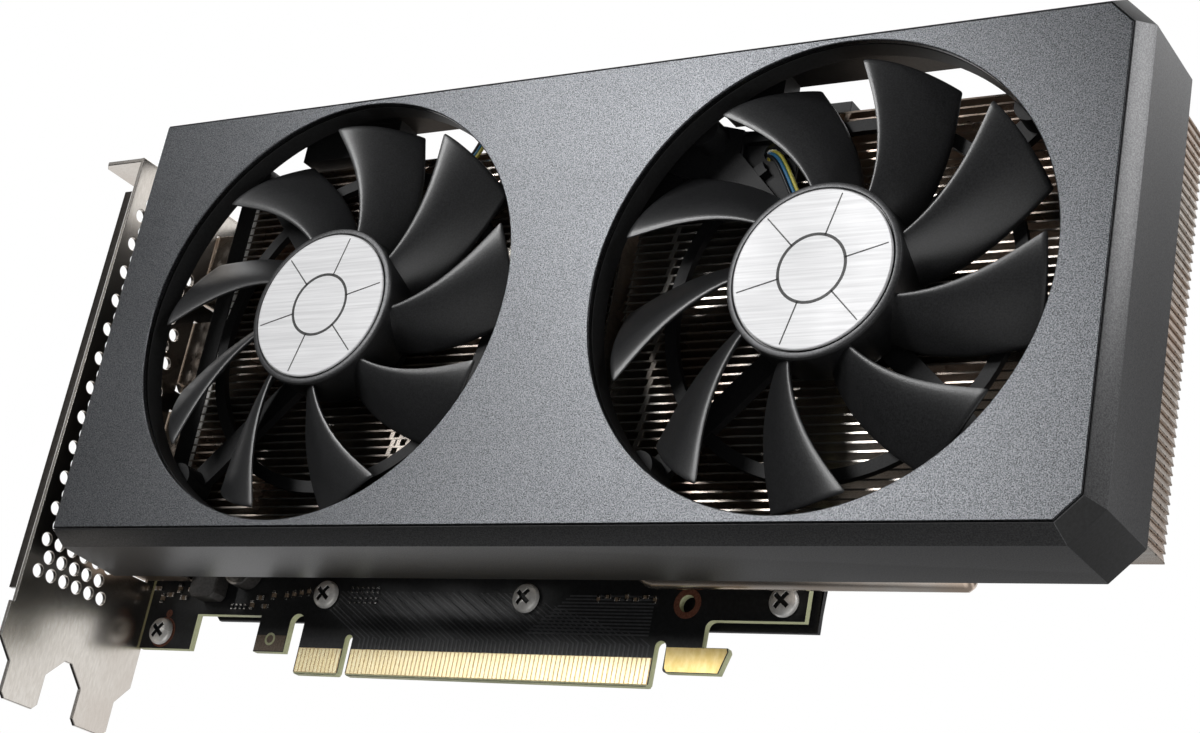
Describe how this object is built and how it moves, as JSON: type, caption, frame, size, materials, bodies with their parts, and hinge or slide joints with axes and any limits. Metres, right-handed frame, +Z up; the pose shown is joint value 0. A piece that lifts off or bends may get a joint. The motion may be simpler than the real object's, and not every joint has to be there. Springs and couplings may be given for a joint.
{
  "type": "graphics card",
  "caption": "Dual-slot graphics card with twin axial fans in a bevelled shroud, finned heatsink, steel slot bracket and gold edge contacts.",
  "frame": {"origin": "middle of the bottom face of the long contact tongue, at the board's mid-thickness", "axes": "+X along the card away from the slot bracket, -Y the fan side, +Z up from the contacts"},
  "size_m": [0.2403, 0.0445, 0.1285],
  "materials": {
    "board": "black solder mask over fibreglass",
    "steel": "bright nickel-plated steel sheet",
    "plate_grey": "fine-grained matte grey coating",
    "frame_black": "dark satin moulded plastic",
    "fan_plastic": "black spark-textured moulded plastic",
    "hub_disc": "brushed silver with fine dark rings",
    "fin_metal": "thin nickel-plated fins",
    "pipe_nickel": "nickel-plated copper pipe",
    "socket_metal": "folded plated steel",
    "black_plastic": "black glass-filled plastic",
    "chip_black": "dark moulded package",
    "screw_steel": "plated steel",
    "copper": "bare copper",
    "magnet": "dull ferrite",
    "cable": "thin insulated wires",
    "backplate_black": "black painted plate"
  },
  "bodies": {
    "card": {"pcb": "board", "io_bracket": "steel", "front_plate": "plate_grey", "shroud_frame": "frame_black", "cooler_frame": "frame_black", "fan_frame_left": "fan_plastic", "fan_frame_right": "fan_plastic", "fin_stack_left": "fin_metal", "fin_stack_right": "fin_metal", "heat_pipe_1": "pipe_nickel", "heat_pipe_2": "pipe_nickel", "heat_pipe_3": "pipe_nickel", "heat_pipe_4": "pipe_nickel", "displayport_1_shell": "socket_metal", "displayport_2_shell": "socket_metal", "displayport_3_shell": "socket_metal", "hdmi_shell": "socket_metal", "displayport_1_tongue": "black_plastic", "displayport_2_tongue": "black_plastic", "displayport_3_tongue": "black_plastic", "hdmi_tongue": "black_plastic", "power_connector": "black_plastic", "fan_plug_left": "black_plastic", "fan_plug_right": "black_plastic", "gpu_package": "chip_black", "memory_1": "chip_black", "memory_2": "chip_black", "memory_3": "chip_black", "memory_4": "chip_black", "choke_1": "chip_black", "choke_2": "chip_black", "choke_3": "chip_black", "choke_4": "chip_black", "board_screw_1": "screw_steel", "board_screw_2": "screw_steel", "board_screw_3": "screw_steel", "board_screw_4": "screw_steel", "spring_screw_1": "screw_steel", "spring_screw_2": "screw_steel", "spring_screw_3": "screw_steel", "spring_screw_4": "screw_steel", "cold_plate": "copper", "bearing_left": "copper", "bearing_right": "copper", "stator_left": "copper", "stator_right": "copper", "fan_cable_left": "cable", "fan_cable_right": "cable", "backplate": "backplate_black"},
    "fan_left": {"rotor_left": "fan_plastic", "hub_disc_left": "hub_disc", "shaft_left": "screw_steel", "magnet_ring_left": "magnet"},
    "fan_right": {"rotor_right": "fan_plastic", "hub_disc_right": "hub_disc", "shaft_right": "screw_steel", "magnet_ring_right": "magnet"}
  },
  "joints": [
    {"name": "fan_left_spin", "type": "hinge", "parent": "card", "child": "fan_left", "pos_m": [-0.0311, -0.033, 0.0641], "axis": [0, -1, 0], "continuous": true},
    {"name": "fan_right_spin", "type": "hinge", "parent": "card", "child": "fan_right", "pos_m": [0.078, -0.033, 0.0641], "axis": [0, -1, 0], "continuous": true}
  ]
}
